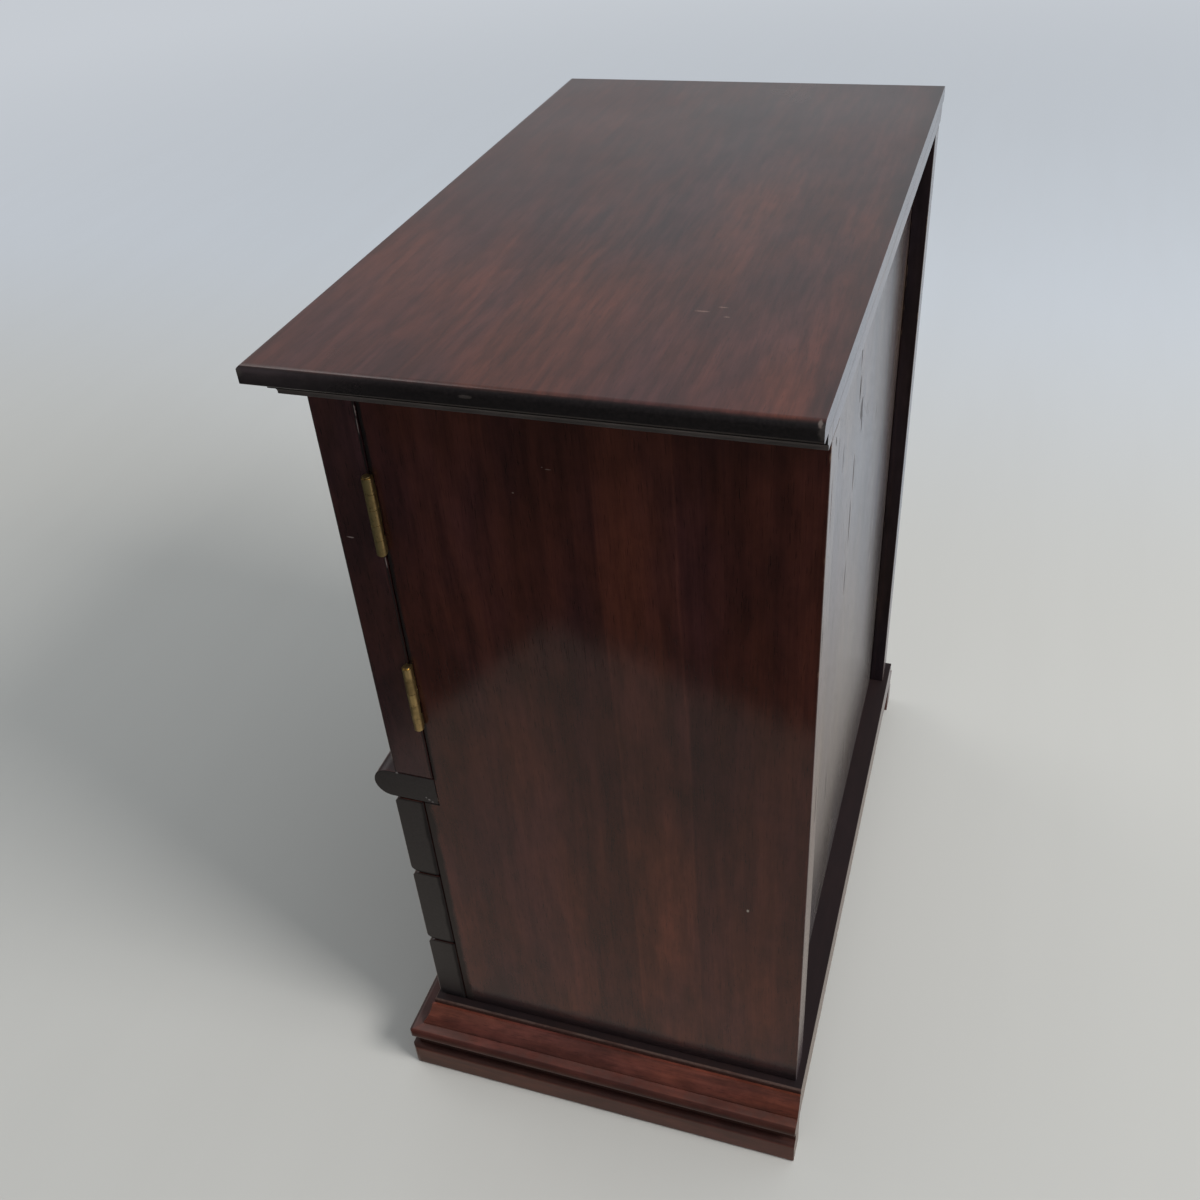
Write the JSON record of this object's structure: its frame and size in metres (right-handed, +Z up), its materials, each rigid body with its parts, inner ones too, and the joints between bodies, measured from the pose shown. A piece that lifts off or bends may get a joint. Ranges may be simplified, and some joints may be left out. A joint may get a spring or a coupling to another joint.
{
  "type": "jewellery cabinet",
  "caption": "Small table-top jewellery cabinet in dark polished wood, with a cupboard behind a pair of doors above a stack of drawers, on a moulded plinth.",
  "frame": {"origin": "middle of the footprint, on the surface that the cabinet stands on", "axes": "+X to the right as one faces the doors, the doors and drawers face -Y, +Z up"},
  "size_m": [0.332, 0.195, 0.392],
  "materials": {
    "case_wood": "polished dark red-brown mahogany, end grain nearly black",
    "top_wood": "polished mahogany, a little faded, with light wear on the arris",
    "trim_wood": "polished, nearly black stain",
    "base_wood": "polished red mahogany with dark recesses",
    "back_wood": "stained thin board, satin, with fine cracks",
    "inner_wood": "plain sanded hardwood",
    "brass": "aged, brushed",
    "steel": "plain, nickel plated",
    "felt": "short-pile felt, matte"
  },
  "bodies": {
    "case": {"top_board": "top_wood", "sub_top": "case_wood", "top_moulding_front": "trim_wood", "top_moulding_left": "trim_wood", "top_moulding_right": "trim_wood", "left_side": "case_wood", "right_side": "case_wood", "back_panel": "back_wood", "waist_board": "case_wood", "cupboard_shelf": "inner_wood", "left_runners": "inner_wood", "right_runners": "inner_wood", "base_board": "trim_wood", "base_moulding_front": "base_wood", "base_moulding_left": "base_wood", "base_moulding_right": "base_wood", "left_frame_leaves": "brass", "right_frame_leaves": "brass", "hinge_pins": "brass", "frame_leaf_screws": "brass", "magnetic_catch": "steel"},
    "left_door": {"left_door_hinge_stile": "case_wood", "left_door_meeting_stile": "case_wood", "left_door_top_rail": "case_wood", "left_door_bottom_rail": "case_wood", "left_door_panel": "case_wood", "left_door_knob": "brass", "left_door_leaves": "brass", "left_door_leaf_screws": "brass", "left_door_strike": "steel"},
    "right_door": {"right_door_hinge_stile": "case_wood", "right_door_meeting_stile": "case_wood", "right_door_top_rail": "case_wood", "right_door_bottom_rail": "case_wood", "right_door_panel": "case_wood", "right_door_knob": "brass", "right_door_leaves": "brass", "right_door_leaf_screws": "brass", "right_door_strike": "steel"},
    "top_drawer": {"top_drawer_front": "case_wood", "top_drawer_left_side": "inner_wood", "top_drawer_right_side": "inner_wood", "top_drawer_back": "inner_wood", "top_drawer_bottom": "inner_wood", "top_drawer_lining": "felt", "top_drawer_knobs": "brass"},
    "middle_drawer": {"middle_drawer_front": "case_wood", "middle_drawer_left_side": "inner_wood", "middle_drawer_right_side": "inner_wood", "middle_drawer_back": "inner_wood", "middle_drawer_bottom": "inner_wood", "middle_drawer_lining": "felt", "middle_drawer_knobs": "brass"},
    "bottom_drawer": {"bottom_drawer_front": "case_wood", "bottom_drawer_left_side": "inner_wood", "bottom_drawer_right_side": "inner_wood", "bottom_drawer_back": "inner_wood", "bottom_drawer_bottom": "inner_wood", "bottom_drawer_lining": "felt", "bottom_drawer_knobs": "brass"}
  },
  "joints": [
    {"name": "left_door_swing", "type": "hinge", "parent": "case", "child": "left_door", "pos_m": [-0.1522, -0.06275, 0.2875], "axis": [0, 0, -1], "range_deg": [0, 180]},
    {"name": "right_door_swing", "type": "hinge", "parent": "case", "child": "right_door", "pos_m": [0.1522, -0.06275, 0.2875], "axis": [0, 0, 1], "range_deg": [0, 180]},
    {"name": "top_drawer_slide", "type": "slide", "parent": "case", "child": "top_drawer", "axis": [0, -1, 0], "range_m": [0, 0.1]},
    {"name": "middle_drawer_slide", "type": "slide", "parent": "case", "child": "middle_drawer", "axis": [0, -1, 0], "range_m": [0, 0.1]},
    {"name": "bottom_drawer_slide", "type": "slide", "parent": "case", "child": "bottom_drawer", "axis": [0, -1, 0], "range_m": [0, 0.1]}
  ]
}
